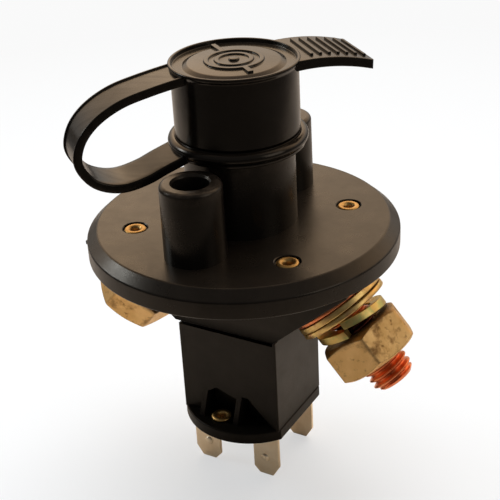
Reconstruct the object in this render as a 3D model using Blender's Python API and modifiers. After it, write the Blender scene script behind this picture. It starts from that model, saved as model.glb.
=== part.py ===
"""Marine battery isolator switch with a tethered weather cap.

Origin: centre of the base plate's flat underside, on the neck's axis.
+Z runs up the neck.  +X is the horizontal direction of the right-hand stud.
The two pillars stand on +-Y.  Heights below are measured from the flange's
flat top, and the whole assembly hangs from an empty at that height.
"""
import math

import bmesh
import bpy
from mathutils import Matrix, Vector

MM = 0.001

# Flange and neck
FLANGE_R = 32.5
FLANGE_FLAT_R = 30.3
FLANGE_CHAMFER = 1.95
FLANGE_H = 5.65
COVER_T = 3.2
RIM_INNER_R = 29.5
NECK_R = 11.36
NECK_TOP = 31.0
NECK_ROOF = 4.0
BORE_R = 7.5
KEY_HUB_R = 3.2
KEY_SLOT = (13.0, 3.4)

# Mounting pillars
PILLAR_Y = 18.6
PILLAR_R = 6.13
PILLAR_TOP = 15.55
PILLAR_BORE_R = 3.6
PILLAR_BORE_DEPTH = 13.0

# Flange rivets
RIVET_X = 17.7
RIVET_Y = 13.7
RIVET_HEAD_R = 2.3
RIVET_SINK_R = 2.6
RIVET_SINK = 0.75
RIVET_TUBE_R = 1.45
RIVET_BORE_R = 0.95
RIVET_HOLE_R = 1.75

# Body moulding under the flange
DISC_R = 29.2
DISC_TOP = -3.5
BODY_Y = 10.9
BODY_BOTTOM = -22.15
BODY_BOTTOM_X = 11.8
BODY_SIDE_X = 28.6
BODY_CAVITY_Y = 8.7
BODY_FLOOR = -20.0

# Studs, both in the XZ plane, pointing down and out from a common apex
APEX_Z = 9.35
STUD_TILT = math.radians(48.94)
STUD_R = 4.7
STUD_END = {"right": 52.9, "left": 50.9}
STUD_HEAD = (24.5, 28.0)
STUD_HEAD_SIZE = (12.0, 13.0)
STUD_HOLE_R = 5.1
SEAT_S = 31.5
NUT_AF = 17.0
NUT_CHAMFER_R = 8.15
THREAD_CLEAR_R = 5.0
WASHER_R = 9.8
SPRING_WASHER_R = 7.9
SPRING_WASHER_T = 1.8
SPLIT_HALF = 0.02

# Where each flat washer lies along its stud; both stacks use the same three
WASHERS = dict(copper=(31.65, 32.35), inner=(32.5, 33.85), outer=(34.0, 35.15))

# Each spring washer is one open turn: the angle of its split, where its inner face
# starts, how far it leans across two directions and how much it climbs in the turn
STACK = {
    "right": dict(split=250.0, start=35.45, lean=(-0.88, 0.45), rise=2.0,
                  nut=(39.3, 47.35), hex_turn=56.5),
    "left": dict(split=106.0, start=35.3, lean=(0.0, 0.0), rise=1.1,
                 nut=(38.35, 46.4), hex_turn=40.2),
}

# Lower casing
CASE_X = 11.8
CASE_Y = 9.9
CASE_TOP = -22.45
CASE_LIP_TOP = -44.6
CASE_BOTTOM = -47.3
LIP_R = 15.1
LIP_X = 12.0
SHELF_T = 0.8
POCKET_TOP = -38.6
POCKET_X = (-10.8, 10.4)
POCKET_DEPTH_Y = 7.4
RIB_X = (-6.1, 2.3)
RIB_T = 1.3
BASE_RIVET = (-1.9, -10.6)

# Base plate and blades
PLATE_R = 13.95
PLATE_X = 11.0
PLATE_TOP = -45.6
BLADE_X = 7.5
BLADE_Y = 8.0
BLADE_W = 6.3
BLADE_T = 0.8
BLADE_COLLAR = 0.5
BLADE_TIP = -58.7
FINGER_Y = 4.0
FINGER_TOP_FRONT = -41.2
FINGER_TOP_REAR = -33.0

# Plunger and contacts
PLUNGER_TOP = 26.0
PLUNGER_R = 7.2
STEM_R = 2.6
STEM_END = -30.0
BRIDGE_Y = 6.0
BRIDGE_T = 2.5
BRIDGE_BOTTOM = -9.5
BRIDGE_TOP = -4.2
BRIDGE_FACE_S = 20.7

# Cap, strap and tether ring
CAP_R = 12.62
CAP_RIM_R = 12.97
CAP_BORE_R = 11.68
CAP_BOTTOM = 19.7
CAP_TOP = 34.26
STRAP_AZ = math.radians(-130.7)
TAB_AZ = STRAP_AZ + math.pi
STRAP_HALF_W = 4.77
STRAP_T = 1.8
TAB_HALF_W = 7.4
RING_R = 14.0
RING_BORE_R = 11.68
RING_Z = (17.1, 19.4)

PARTS = "battery_switch"
CUTTERS = "battery_switch_cutters"


def clear_scene():
    for obj in list(bpy.data.objects):
        bpy.data.objects.remove(obj, do_unlink=True)


def make_collection(name):
    coll = bpy.data.collections.new(name)
    bpy.context.scene.collection.children.link(coll)
    return coll


def make_material(name, colour, roughness, metallic):
    mat = bpy.data.materials.new(name)
    mat.use_nodes = True
    bsdf = mat.node_tree.nodes["Principled BSDF"]
    bsdf.inputs["Base Color"].default_value = (*colour, 1.0)
    bsdf.inputs["Roughness"].default_value = roughness
    bsdf.inputs["Metallic"].default_value = metallic
    mat.diffuse_color = (*colour, 1.0)
    return mat


LOOKS = {
    "thermoplastic": ((0.028, 0.026, 0.024), 0.42, 0.0),
    "cap_rubber": ((0.022, 0.020, 0.018), 0.55, 0.0),
    "seal_rubber": ((0.015, 0.015, 0.016), 0.8, 0.0),
    "pale_acetal": ((0.62, 0.60, 0.55), 0.4, 0.0),
    "brass": ((0.62, 0.43, 0.17), 0.34, 1.0),
    "nut_brass": ((0.55, 0.38, 0.18), 0.46, 1.0),
    "copper": ((0.72, 0.25, 0.12), 0.32, 1.0),
    "yellow_zinc": ((0.60, 0.47, 0.22), 0.38, 1.0),
    "green_zinc": ((0.55, 0.50, 0.24), 0.40, 1.0),
    "tinned_brass": ((0.66, 0.56, 0.42), 0.36, 1.0),
    "spring_steel": ((0.42, 0.43, 0.44), 0.30, 1.0),
}


def place(mesh, name, coll, look=None):
    obj = bpy.data.objects.new(name, mesh)
    coll.objects.link(obj)
    if look:
        mesh.materials.append(make_material(name + "_look", *LOOKS[look]))
    return obj


def as_cutter(obj):
    obj.hide_render = True
    obj.display_type = "WIRE"
    return obj


def turned(name, profile, coll, look=None, steps=32, smooth=True):
    """Solid of revolution about local Z; profile runs down the outer side."""
    mesh = bpy.data.meshes.new(name)
    verts = [(r * MM, 0.0, z * MM) for r, z in profile]
    edges = [(i, i + 1) for i in range(len(verts) - 1)]
    if profile[0][0] > 0.0:
        edges.append((len(verts) - 1, 0))
    mesh.from_pydata(verts, edges, [])
    obj = place(mesh, name, coll, look)
    screw = obj.modifiers.new("turn", "SCREW")
    screw.axis = "Z"
    screw.angle = 2.0 * math.pi
    screw.steps = steps
    screw.render_steps = steps
    screw.use_merge_vertices = True
    screw.merge_threshold = 0.00001
    screw.use_smooth_shade = smooth
    return obj


def mesh_from_curve(curve, name):
    """Evaluate a curve, weld its caps and return a closed mesh."""
    holder = bpy.data.objects.new(name, curve)
    bpy.context.scene.collection.objects.link(holder)
    bpy.context.view_layer.update()
    graph = bpy.context.evaluated_depsgraph_get()
    mesh = bpy.data.meshes.new_from_object(holder.evaluated_get(graph))
    bpy.data.objects.remove(holder, do_unlink=True)
    bm = bmesh.new()
    bm.from_mesh(mesh)
    bmesh.ops.remove_doubles(bm, verts=bm.verts, dist=0.000001)
    bmesh.ops.recalc_face_normals(bm, faces=bm.faces)
    bm.to_mesh(mesh)
    bm.free()
    mesh.materials.clear()
    mesh.name = name
    return mesh


def prism(name, outline, depth, coll, look=None):
    """Flat outline in local XY (mm), extruded along local Z over depth=(z0, z1)."""
    z0, z1 = depth
    curve = bpy.data.curves.new(name, "CURVE")
    curve.dimensions = "2D"
    curve.fill_mode = "BOTH"
    curve.extrude = (z1 - z0) / 2 * MM
    spline = curve.splines.new("POLY")
    spline.points.add(len(outline) - 1)
    for point, (x, y) in zip(spline.points, outline):
        point.co = (x * MM, y * MM, 0.0, 1.0)
    spline.use_cyclic_u = True
    mesh = mesh_from_curve(curve, name)
    mesh.transform(Matrix.Translation((0.0, 0.0, (z0 + z1) / 2 * MM)))
    return place(mesh, name, coll, look)


def box(name, xs, ys, zs, coll, look=None):
    bm = bmesh.new()
    bmesh.ops.create_cube(bm, size=1.0)
    size = [(hi - lo) * MM for lo, hi in (xs, ys, zs)]
    middle = [(hi + lo) / 2 * MM for lo, hi in (xs, ys, zs)]
    bmesh.ops.scale(bm, verts=bm.verts, vec=size)
    bmesh.ops.translate(bm, verts=bm.verts, vec=middle)
    mesh = bpy.data.meshes.new(name)
    bm.to_mesh(mesh)
    bm.free()
    return place(mesh, name, coll, look)


def bar(name, radius, zs, coll, look=None, steps=24):
    """Plain cylinder along local Z; six steps make a hexagon with a corner on +X."""
    z0, z1 = zs
    bm = bmesh.new()
    bmesh.ops.create_cone(bm, cap_ends=True, cap_tris=False, segments=steps,
                          radius1=radius * MM, radius2=radius * MM, depth=(z1 - z0) * MM)
    turn = Matrix.Rotation(-math.pi / 2, 4, "Z")
    lift = Matrix.Translation((0.0, 0.0, (z0 + z1) / 2 * MM))
    bmesh.ops.transform(bm, matrix=lift @ turn, verts=bm.verts)
    mesh = bpy.data.meshes.new(name)
    bm.to_mesh(mesh)
    bm.free()
    return place(mesh, name, coll, look)


def side_prism(name, outline, ys, coll, look=None):
    """Outline in the XZ plane, extruded along Y over ys."""
    obj = prism(name, outline, (-ys[1], -ys[0]), coll, look)
    obj.matrix_world = Matrix.Rotation(math.pi / 2, 4, "X")
    return obj


def front_prism(name, outline, xs, coll, look=None):
    """Outline given as (y, z), extruded along X over xs."""
    obj = prism(name, outline, xs, coll, look)
    turn = Matrix(((0, 0, 1, 0), (1, 0, 0, 0), (0, 1, 0, 0), (0, 0, 0, 1)))
    obj.matrix_world = turn
    return obj


def radial_prism(name, outline, half_w, azimuth, coll, look=None):
    """Outline given as (distance from the axis, z), width across it."""
    obj = prism(name, outline, (-half_w, half_w), coll, look)
    stand = Matrix.Rotation(math.pi / 2, 4, "X")
    obj.matrix_world = Matrix.Rotation(azimuth, 4, "Z") @ stand
    return obj


def rod(name, radius, zs, coll, look=None, at=(0.0, 0.0), steps=24):
    obj = bar(name, radius, zs, coll, look, steps)
    obj.location = (at[0] * MM, at[1] * MM, 0.0)
    return obj


def boolean(obj, other, operation):
    mod = obj.modifiers.new(operation.lower(), "BOOLEAN")
    mod.operation = operation
    mod.solver = "EXACT"
    mod.object = as_cutter(other)


def cut(obj, *others):
    for other in others:
        boolean(obj, other, "DIFFERENCE")


def join(obj, *others):
    for other in others:
        boolean(obj, other, "UNION")


def clipped_disc(radius, half_x, count=12):
    """Circle with both +-X sides cut flat."""
    a = math.acos(half_x / radius)
    arc = [a + (math.pi - 2 * a) * i / count for i in range(count + 1)]
    top = [(radius * math.cos(t), radius * math.sin(t)) for t in arc]
    return top + [(-x, -y) for x, y in top]


def stud_matrix(side, s=0.0):
    """Local +Z along the stud, origin s millimetres from the apex."""
    sign = 1.0 if side == "right" else -1.0
    turn = Matrix.Rotation(sign * (math.pi / 2 + STUD_TILT), 4, "Y")
    way = turn.to_3x3() @ Vector((0, 0, 1))
    spot = Vector((0, 0, APEX_Z)) + s * way
    return Matrix.Translation(spot * MM) @ turn


# ---------------------------------------------------------------- mouldings

def cover_profile():
    return [
        (0.0, NECK_TOP), (NECK_R - 0.5, NECK_TOP), (NECK_R, NECK_TOP - 0.5), (NECK_R, 0.6),
        (NECK_R + 0.6, 0.0), (FLANGE_FLAT_R, 0.0), (FLANGE_R, -FLANGE_CHAMFER),
        (FLANGE_R, -FLANGE_H), (RIM_INNER_R, -FLANGE_H), (RIM_INNER_R, -COVER_T),
        (BORE_R, -COVER_T), (BORE_R, NECK_TOP - NECK_ROOF), (0.0, NECK_TOP - NECK_ROOF),
    ]


def pillar(sign, tools):
    r = PILLAR_R
    top = PILLAR_TOP
    profile = [
        (0.0, top), (r - 0.5, top), (r, top - 0.5), (r + 0.2, 0.6), (r + 0.6, -0.4),
        (r + 0.6, -1.5), (0.0, -1.5),
    ]
    post = turned("pillar_post", profile, tools, steps=28)
    post.location = (0.0, sign * PILLAR_Y * MM, 0.0)
    return post


def pillar_bore(sign, tools):
    r = PILLAR_BORE_R
    top = PILLAR_TOP
    profile = [
        (0.0, top + 1.0), (r, top + 1.0), (r - 0.4, top - PILLAR_BORE_DEPTH),
        (0.0, top - PILLAR_BORE_DEPTH),
    ]
    tool = turned("pillar_bore_tool", profile, tools, steps=20)
    tool.location = (0.0, sign * PILLAR_Y * MM, 0.0)
    return tool


def rivet_spots():
    return [(sx * RIVET_X, sy * RIVET_Y) for sx, sy in ((1, -1), (1, 1), (-1, 1), (-1, -1))]


def make_cover(parts, tools):
    cover = turned("cover_moulding", cover_profile(), parts, "thermoplastic", 56)
    for sign in (1, -1):
        join(cover, pillar(sign, tools))
    for sign in (1, -1):
        cut(cover, pillar_bore(sign, tools))
    for x, y in rivet_spots():
        cut(cover, rod("rivet_hole_tool", RIVET_HOLE_R, (-8, 3), tools, None, (x, y), 12))
        cut(cover, rod("rivet_sink_tool", RIVET_SINK_R, (-RIVET_SINK, 3), tools, None,
                       (x, y), 16))
    length, width = KEY_SLOT
    cut(cover, rod("key_hub_tool", KEY_HUB_R, (NECK_TOP - 6, NECK_TOP + 1), tools))
    bow = [(-length / 2, -width / 2), (0.0, -0.8), (length / 2, -width / 2),
           (length / 2, width / 2), (0.0, 0.8), (-length / 2, width / 2)]
    cut(cover, prism("key_slot_tool", bow, (NECK_TOP - 6, NECK_TOP + 1), tools))
    return cover


def slope_point(s, x):
    """Height at x of the plane square to the right stud at distance s."""
    c, d = math.cos(STUD_TILT), math.sin(STUD_TILT)
    return APEX_Z - s * d + (x - s * c) * c / d


def mirrored(half):
    return half + [(-x, z) for x, z in reversed(half)]


def make_body(parts, tools):
    disc = [(0.0, DISC_TOP), (DISC_R, DISC_TOP), (DISC_R, -FLANGE_H), (0.0, -FLANGE_H)]
    body = turned("body_moulding", disc, parts, "thermoplastic", 48)
    half = [(26.0, DISC_TOP - 1.0), (26.0, -FLANGE_H - 0.35), (BODY_SIDE_X, -FLANGE_H - 0.35),
            (BODY_SIDE_X, slope_point(SEAT_S, BODY_SIDE_X)),
            (BODY_BOTTOM_X, slope_point(SEAT_S, BODY_BOTTOM_X))]
    join(body, side_prism("body_wedge", mirrored(half), (-BODY_Y, BODY_Y), tools))
    inner = STUD_HEAD[1] + 0.3
    low_x = BODY_BOTTOM_X - 2.3
    half = [(23.0, DISC_TOP + 1.0), (23.0, slope_point(inner, 23.0)),
            (low_x, slope_point(inner, low_x)), (low_x, BODY_FLOOR)]
    room = side_prism("body_room_tool", mirrored(half), (-BODY_CAVITY_Y, BODY_CAVITY_Y), tools)
    cut(body, room)
    for side in ("right", "left"):
        hole = rod("stud_hole_tool", STUD_HOLE_R, (20, 40), tools)
        hole.matrix_world = stud_matrix(side)
        cut(body, hole)
    cut(body, rod("stem_hole_tool", STEM_R + 0.5, (-26, -16), tools))
    for x, y in rivet_spots():
        cut(body, rod("rivet_hole_tool", RIVET_HOLE_R, (-9, 0), tools, None, (x, y), 12))
    return body


def pocket(sign, tools):
    """Scoop in the long face just above the shelf."""
    y_in, y_out = -POCKET_DEPTH_Y, -CASE_Y - 3.0
    shape = [(-CASE_Y + 0.4, POCKET_TOP), (y_out, POCKET_TOP), (y_out, CASE_LIP_TOP),
             (y_in, CASE_LIP_TOP)]
    tool = front_prism("pocket_tool", shape, POCKET_X, tools)
    if sign > 0:
        tool.matrix_world = Matrix.Rotation(math.pi, 4, "Z") @ tool.matrix_world
    return tool


def rib(sign, x, tools):
    shape = [(-6.6, POCKET_TOP - 0.3), (-CASE_Y + 0.25, POCKET_TOP - 0.6),
             (-12.4, CASE_LIP_TOP - 0.4), (-6.6, CASE_LIP_TOP - 0.4)]
    tool = front_prism("rib_web", shape, (x - RIB_T / 2, x + RIB_T / 2), tools)
    if sign > 0:
        tool.matrix_world = Matrix.Rotation(math.pi, 4, "Z") @ tool.matrix_world
    return tool


def make_casing(parts, tools):
    case = box("lower_casing", (-CASE_X, CASE_X), (-CASE_Y, CASE_Y),
               (CASE_LIP_TOP - 0.5, CASE_TOP), parts, "thermoplastic")
    join(case, prism("casing_lip", clipped_disc(LIP_R, LIP_X), (CASE_BOTTOM, CASE_LIP_TOP),
                     tools))
    for sign in (-1, 1):
        cut(case, pocket(sign, tools))
    for sign in (-1, 1):
        for x in RIB_X:
            join(case, rib(sign, x, tools))
    recess = clipped_disc(PLATE_R + 0.25, PLATE_X + 0.25)
    cut(case, prism("plate_recess_tool", recess, (CASE_BOTTOM - 1, CASE_LIP_TOP - SHELF_T),
                    tools))
    cut(case, box("casing_room_tool", (-9.9, 9.9), (-5.3, 5.3), (-46.0, -24.3), tools))
    cut(case, box("casing_upper_room_tool", (-9.9, 9.9), (-7.9, 7.9), (-36.0, -24.3), tools))
    cut(case, rod("stem_hole_tool", STEM_R + 0.5, (-26, -20), tools))
    for sign in (1, -1):
        spot = (sign * BASE_RIVET[0], sign * BASE_RIVET[1])
        cut(case, rod("base_rivet_hole_tool", RIVET_HOLE_R, (-49, -43), tools, None, spot, 12))
    return case


def blade_seats():
    return [("front_right", 1, -1), ("front_left", -1, -1),
            ("rear_right", 1, 1), ("rear_left", -1, 1)]


def make_plate(parts, tools):
    plate = prism("base_plate", clipped_disc(PLATE_R, PLATE_X), (CASE_BOTTOM, PLATE_TOP),
                  parts, "thermoplastic")
    half = BLADE_W / 2 + 0.15
    for _, sx, sy in blade_seats():
        xs = (sx * BLADE_X - half, sx * BLADE_X + half)
        slot_y = sorted((sy * (BLADE_Y - 0.6), sy * (BLADE_Y + 0.6)))
        cut(plate, box("blade_slot_tool", xs, slot_y, (-49, -44), tools))
        run_y = sorted((sy * (FINGER_Y - 0.6), sy * BLADE_Y))
        cut(plate, box("blade_run_tool", xs, run_y, (PLATE_TOP - 1.1, -44), tools))
    for sign in (1, -1):
        spot = (sign * BASE_RIVET[0], sign * BASE_RIVET[1])
        cut(plate, rod("base_rivet_hole_tool", RIVET_HOLE_R, (-49, -43), tools, None, spot, 12))
    return plate


# ---------------------------------------------------------------- metalwork

def tubular_rivet(name, spot, head_top, tail, parts):
    """Hollow rivet with a rolled head above and a rolled tail below."""
    r, b = RIVET_TUBE_R, RIVET_BORE_R
    profile = [
        (b, head_top - 0.3), (RIVET_HEAD_R - 0.6, head_top), (RIVET_HEAD_R, head_top - 0.5),
        (r, head_top - 0.5), (r, tail + 0.45), (RIVET_HEAD_R - 0.3, tail + 0.45),
        (RIVET_HEAD_R - 0.3, tail), (b, tail),
    ]
    rivet = turned(name, profile, parts, "brass", 14)
    rivet.location = (spot[0] * MM, spot[1] * MM, 0.0)
    return rivet


def make_rivets(parts):
    names = ("front_right", "rear_right", "rear_left", "front_left")
    for name, spot in zip(names, rivet_spots()):
        tubular_rivet("flange_rivet_" + name, spot, -RIVET_SINK + 0.6, -FLANGE_H - 0.6, parts)
    for name, sign in (("front", 1), ("rear", -1)):
        spot = (sign * BASE_RIVET[0], sign * BASE_RIVET[1])
        tubular_rivet("base_rivet_" + name, spot, CASE_LIP_TOP + 0.6, CASE_BOTTOM - 0.55, parts)


def make_stud(side, parts, tools):
    s0, s1 = STUD_HEAD
    end = STUD_END[side]
    profile = [(0.0, end), (STUD_R - 0.9, end), (STUD_R, end - 0.9), (STUD_R, s1 - 1.0),
               (0.0, s1 - 1.0)]
    profile = [(r, z - s1) for r, z in profile]
    stud = turned("stud_" + side, profile, parts, "copper", 24)
    stud.matrix_world = stud_matrix(side, s1)
    hx, hy = STUD_HEAD_SIZE[0] / 2, STUD_HEAD_SIZE[1] / 2
    head = box("stud_head", (-hx, hx), (-hy, hy), (s0 - s1, 0.0), tools)
    head.matrix_world = stud_matrix(side, s1)
    join(stud, head)
    return stud


def washer(name, side, span, radius, bore, look, parts):
    s0, s1 = span
    h = s1 - s0
    profile = [(bore, h), (radius, h), (radius, 0.0), (bore, 0.0)]
    ring = turned(name, profile, parts, look, 32)
    ring.matrix_world = stud_matrix(side, s0)
    return ring


def make_spring_washer(side, parts):
    """One open turn of square wire round the stud, its ends standing apart."""
    turn = STACK[side]
    split = math.radians(turn["split"])
    lean_x, lean_y = turn["lean"]
    steps = 40
    sweep = 2 * math.pi - 2 * SPLIT_HALF
    verts, faces = [], []
    for i in range(steps + 1):
        part = i / steps
        angle = split - SPLIT_HALF - sweep * part
        c, s = math.cos(angle), math.sin(angle)
        low = turn["start"] + lean_x * c + lean_y * s + turn["rise"] * part
        high = low + SPRING_WASHER_T
        for r, z in ((STUD_HOLE_R, low), (SPRING_WASHER_R, low), (SPRING_WASHER_R, high),
                     (STUD_HOLE_R, high)):
            verts.append((r * c * MM, r * s * MM, z * MM))
    for i in range(steps):
        for j in range(4):
            a, b = 4 * i + j, 4 * i + (j + 1) % 4
            faces.append((a, b, b + 4, a + 4))
    faces += [(3, 2, 1, 0), tuple(4 * steps + j for j in range(4))]
    mesh = bpy.data.meshes.new("spring_washer_" + side)
    mesh.from_pydata(verts, [], faces)
    bm = bmesh.new()
    bm.from_mesh(mesh)
    bmesh.ops.recalc_face_normals(bm, faces=bm.faces)
    bm.to_mesh(mesh)
    bm.free()
    ring = place(mesh, "spring_washer_" + side, parts, "green_zinc")
    ring.matrix_world = stud_matrix(side, 0.0)
    return ring


def make_nut(side, parts, tools):
    s0, s1 = STACK[side]["nut"]
    h = s1 - s0
    rc = NUT_AF / math.sqrt(3.0)
    nut = bar("nut_" + side, rc, (0.0, h), parts, "nut_brass", 6)
    start = math.radians(STACK[side]["hex_turn"])
    nut.matrix_world = stud_matrix(side, s0) @ Matrix.Rotation(start, 4, "Z")
    drop = (rc - NUT_CHAMFER_R) * math.tan(math.radians(30))
    wide = rc + 1.0
    fall = drop * (wide - NUT_CHAMFER_R) / (rc - NUT_CHAMFER_R)
    profile = [(0.0, h), (NUT_CHAMFER_R, h), (wide, h - fall), (wide, fall),
               (NUT_CHAMFER_R, 0.0), (0.0, 0.0)]
    cone = turned("nut_chamfer", profile, tools, steps=36)
    cone.matrix_world = stud_matrix(side, s0)
    boolean(nut, cone, "INTERSECT")
    hole = rod("nut_bore_tool", THREAD_CLEAR_R, (-1, h + 1), tools, steps=20)
    hole.matrix_world = stud_matrix(side, s0)
    cut(nut, hole)
    return nut


def make_terminals(parts, tools):
    for side in ("right", "left"):
        make_stud(side, parts, tools)
        for kind, bore, look in (("copper", 5.2, "copper"), ("inner", 5.3, "yellow_zinc"),
                                 ("outer", 5.3, "yellow_zinc")):
            washer(kind + "_washer_" + side, side, WASHERS[kind], WASHER_R, bore, look, parts)
        make_spring_washer(side, parts)
        make_nut(side, parts, tools)


def make_blade(name, sx, sy, parts, tools):
    """Faston blade, jogged inwards under the shelf to a contact finger."""
    x, hw, ht = sx * BLADE_X, BLADE_W / 2, BLADE_T / 2
    tip = BLADE_TIP
    outline = [(x - hw, PLATE_TOP - 0.2), (x - hw, tip + 2.2), (x - hw + 1.5, tip),
               (x + hw - 1.5, tip), (x + hw, tip + 2.2), (x + hw, PLATE_TOP - 0.2)]
    ys = sorted((sy * (BLADE_Y - ht), sy * (BLADE_Y + ht)))
    blade = side_prism("blade_" + name, outline, ys, parts, "tinned_brass")
    collar_y = sorted((sy * (BLADE_Y - BLADE_COLLAR), sy * (BLADE_Y + BLADE_COLLAR)))
    join(blade, box("blade_collar", (x - hw - 0.05, x + hw + 0.05), collar_y,
                    (CASE_BOTTOM - 0.3, PLATE_TOP - 0.15), tools))
    foot_y = sorted((sy * (FINGER_Y - ht), sy * (BLADE_Y - 0.1)))
    foot_z = (PLATE_TOP - 1.0, PLATE_TOP - 0.2)
    join(blade, box("blade_foot", (x - hw, x + hw), foot_y, foot_z, tools))
    top = FINGER_TOP_FRONT if sy < 0 else FINGER_TOP_REAR
    rise_y = sorted((sy * (FINGER_Y - ht), sy * (FINGER_Y + ht)))
    xs = (x - 2.1, x + 1.9)
    join(blade, box("blade_finger", xs, rise_y, (PLATE_TOP - 0.6, top), tools))
    if sy > 0:
        hook_y = (1.7, FINGER_Y + 0.2)
        join(blade, box("blade_hook", xs, hook_y, (top - 0.8, top - 0.02), tools))
    return blade


# ---------------------------------------------------------------- mechanism

def make_plunger(parts):
    profile = [
        (0.0, PLUNGER_TOP - 1.0), (3.4, PLUNGER_TOP - 1.0), (4.2, PLUNGER_TOP),
        (PLUNGER_R - 0.4, PLUNGER_TOP), (PLUNGER_R, PLUNGER_TOP - 0.4), (PLUNGER_R, 21.2),
        (5.8, 21.2), (5.8, 19.4), (PLUNGER_R, 19.4), (PLUNGER_R, 15.0), (4.0, 14.0),
        (4.0, 4.0), (6.4, 3.6), (6.4, 2.0), (3.0, 2.0), (3.0, -9.7), (2.3, -9.7),
        (2.3, -10.9), (STEM_R, -10.9), (STEM_R, STEM_END), (0.0, STEM_END),
    ]
    return turned("plunger", profile, parts, "pale_acetal", 22)


def make_seal(parts):
    mid, thick = 6.65, 0.62
    profile = []
    for k in range(8):
        t = math.pi / 2 - 2 * math.pi * k / 8
        profile.append((mid + thick * math.cos(t), 20.3 + thick * math.sin(t)))
    return turned("plunger_seal", profile, parts, "seal_rubber", 22)


def make_bridge(parts, tools):
    """Copper strip whose raised wings lie parallel to the stud heads."""
    cos_t, sin_t = math.cos(STUD_TILT), math.sin(STUD_TILT)
    face_x, face_z = BRIDGE_FACE_S * cos_t, APEX_Z - BRIDGE_FACE_S * sin_t
    run = sin_t / cos_t
    wing_x = face_x + (BRIDGE_TOP - face_z) * run
    foot_x = face_x + (BRIDGE_BOTTOM - face_z) * run
    inner_x = foot_x - BRIDGE_T * math.tan((math.pi / 2 - STUD_TILT) / 2)
    half = [(foot_x, BRIDGE_BOTTOM), (wing_x, BRIDGE_TOP),
            (wing_x - BRIDGE_T / cos_t, BRIDGE_TOP), (inner_x, BRIDGE_BOTTOM + BRIDGE_T)]
    outline = mirrored(half)
    bridge = side_prism("contact_bridge", outline, (-BRIDGE_Y, BRIDGE_Y), parts, "copper")
    cut(bridge, rod("bridge_hole_tool", 3.3, (-14, 0), tools))
    return bridge


def make_clip(parts):
    profile = [(2.6, -9.95), (5.3, -9.95), (5.3, -10.65), (2.6, -10.65)]
    return turned("bridge_clip", profile, parts, "spring_steel", 24)


def coil(name, mean_r, wire, z_low, z_high, turns, parts):
    """Open compression spring between two seats."""
    per_turn = 12
    count = int(turns * per_turn)
    lift = (z_high - z_low - wire) / count
    curve = bpy.data.curves.new(name + "_wire", "CURVE")
    curve.dimensions = "3D"
    curve.bevel_depth = wire / 2 * MM
    curve.bevel_resolution = 2
    curve.use_fill_caps = True
    spline = curve.splines.new("POLY")
    spline.points.add(count)
    for i in range(count + 1):
        t = 2 * math.pi * i / per_turn
        z = z_low + wire / 2 + lift * i
        spot = (mean_r * math.cos(t) * MM, mean_r * math.sin(t) * MM, z * MM, 1.0)
        spline.points[i].co = spot
    mesh = mesh_from_curve(curve, name)
    return place(mesh, name, parts, "spring_steel")


def make_springs(parts):
    coil("overtravel_spring", 4.7, 0.9, -6.7, 1.7, 4.5, parts)
    coil("return_spring", 4.4, 0.8, BODY_FLOOR + 0.3, -10.95, 4.0, parts)


def make_auxiliary(parts, tools):
    carrier = box("auxiliary_carrier", (-3.0, 3.0), (-5.0, 4.0), (-38.5, -25.2), parts,
                  "pale_acetal")
    cut(carrier, rod("carrier_bore_tool", STEM_R + 0.2, (STEM_END - 0.3, -20), tools))
    cut(carrier, box("make_bar_slot_tool", (-4, 4), (-6.0, -2.3), (-36.4, -35.0), tools))
    cut(carrier, box("break_bar_slot_tool", (-4, 4), (1.4, 5.0), (-35.2, -33.8), tools))
    box("make_contact_bar", (-9.3, 9.3), (-4.9, -2.6), (-36.1, -35.3), parts, "copper")
    box("break_contact_bar", (-9.3, 9.3), (1.7, 3.3), (-34.9, -34.1), parts, "copper")


# ---------------------------------------------------------------- weather cap

def make_cap(parts, tools):
    profile = [
        (0.0, 33.4), (10.9, 33.3), (11.5, CAP_TOP), (12.6, CAP_TOP), (CAP_RIM_R, 33.9),
        (CAP_RIM_R, 32.4), (CAP_R, 31.8), (CAP_R, CAP_BOTTOM + 0.2), (CAP_R - 0.2, CAP_BOTTOM),
        (CAP_BORE_R, CAP_BOTTOM), (CAP_BORE_R, NECK_TOP + 0.35), (0.0, NECK_TOP + 0.35),
    ]
    cap = turned("weather_cap", profile, parts, "cap_rubber", 44)
    side = [(9.4, 33.2), (12.4, 33.9), (14.0, 34.1), (18.0, 33.75), (21.0, 33.2), (23.6, 32.6),
            (26.0, 31.9), (25.9, 30.0), (21.0, 31.2), (18.0, 31.75), (14.0, 32.1), (9.4, 32.0)]
    join(cap, radial_prism("pull_tab", side, TAB_HALF_W, TAB_AZ, tools))
    return cap


STRAP_LINE = [
    (13.35, 32.0), (18.35, 31.6), (24.0, 30.35), (28.75, 27.95), (31.9, 24.9), (33.4, 21.4),
    (33.1, 18.6), (31.0, 15.55), (28.0, 13.85), (24.5, 13.25), (20.0, 13.9), (14.45, 15.75),
]


def smooth_line(points, per):
    """Catmull-Rom curve through the points, in the plane."""
    pts = [Vector(p) for p in points]
    pts = [2 * pts[0] - pts[1]] + pts + [2 * pts[-1] - pts[-2]]
    line = []
    for i in range(1, len(pts) - 2):
        p0, p1, p2, p3 = pts[i - 1:i + 3]
        for k in range(per):
            t = k / per
            line.append((2 * p1 + (p2 - p0) * t + (2 * p0 - 5 * p1 + 4 * p2 - p3) * t ** 2
                         + (3 * p1 - p0 - 3 * p2 + p3) * t ** 3) / 2)
    return line + [pts[-2]]


def make_strap(parts):
    """Flat band of even thickness along its centre line."""
    line = smooth_line(STRAP_LINE, 3)
    outer, inner = [], []
    for i, spot in enumerate(line):
        along = line[min(i + 1, len(line) - 1)] - line[max(i - 1, 0)]
        across = Vector((-along.y, along.x)).normalized() * (STRAP_T / 2)
        outer.append(tuple(spot + across))
        inner.append(tuple(spot - across))
    outline = outer + inner[::-1]
    return radial_prism("strap", outline, STRAP_HALF_W, STRAP_AZ, parts, "cap_rubber")


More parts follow.
